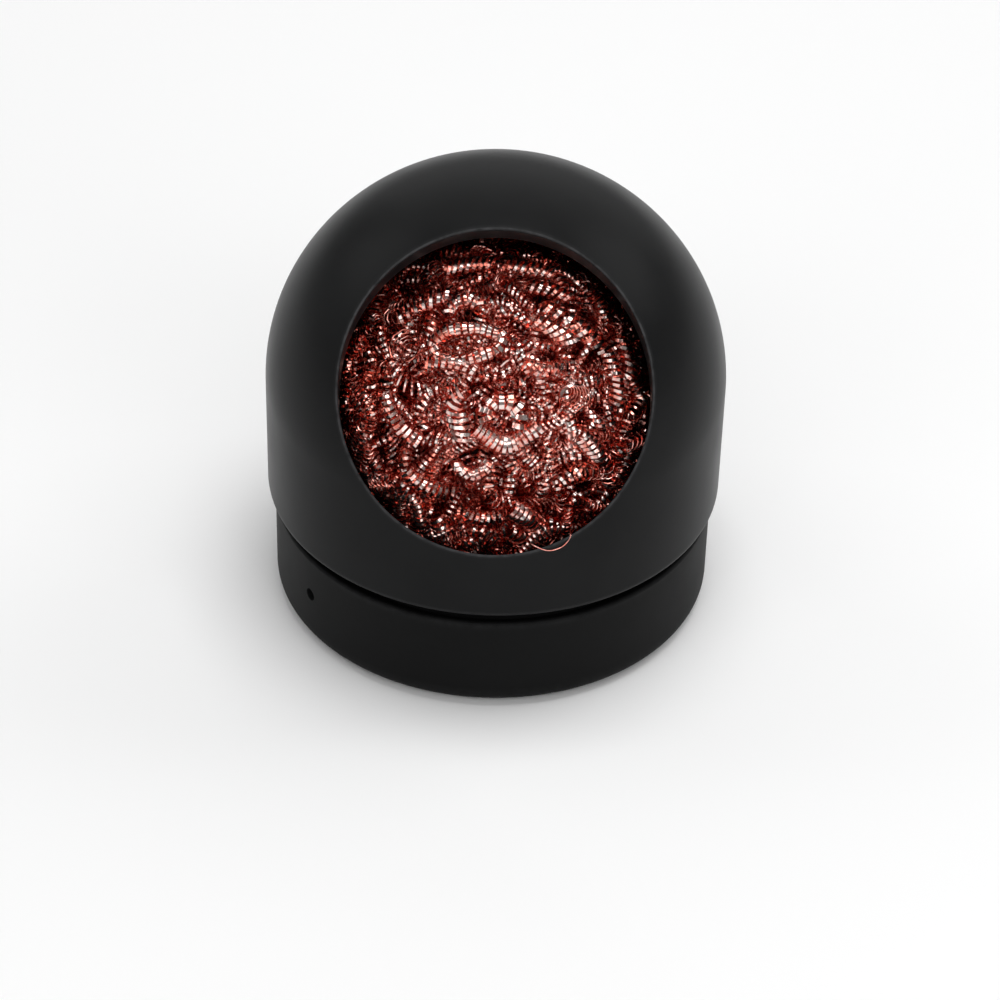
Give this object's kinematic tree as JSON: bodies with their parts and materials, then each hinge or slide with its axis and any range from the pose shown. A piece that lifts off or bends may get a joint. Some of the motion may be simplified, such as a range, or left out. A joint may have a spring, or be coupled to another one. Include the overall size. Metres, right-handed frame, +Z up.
{
  "type": "soldering tip cleaner",
  "caption": "Domed metal holder with a slanting round mouth and a round base, filled with a ball of curled copper-coloured wire that wipes a hot soldering tip.",
  "frame": {"origin": "middle of the foot pad's underside, where the holder stands on the bench", "axes": "+Z up along the turned casing's axis; -Y towards the user, the way the mouth faces; +X to the user's right"},
  "size_m": [0.056, 0.056, 0.057],
  "materials": {
    "black_casing": "satin",
    "black_rubber": "matte",
    "blackened_steel": "satin",
    "wire_tangle": "satin",
    "copper_wire": "polished"
  },
  "bodies": {
    "base": {"base_cup": "black_casing", "foot_pad": "black_rubber", "set_screw": "blackened_steel", "wire_core": "wire_tangle", "wire_strand_1": "copper_wire", "wire_strand_2": "copper_wire", "wire_strand_3": "copper_wire", "wire_strand_4": "copper_wire"},
    "friction_ring": {"friction_ring": "black_rubber"},
    "hood": {"hood": "black_casing"}
  },
  "joints": [
    {"name": "hood_lift", "type": "slide", "parent": "base", "child": "friction_ring", "axis": [0, 0, 1], "range_m": [0, 0.045]},
    {"name": "hood_swivel", "type": "hinge", "parent": "friction_ring", "child": "hood", "pos_m": [0, 0, 0.01475], "axis": [0, 0, 1], "continuous": true}
  ]
}
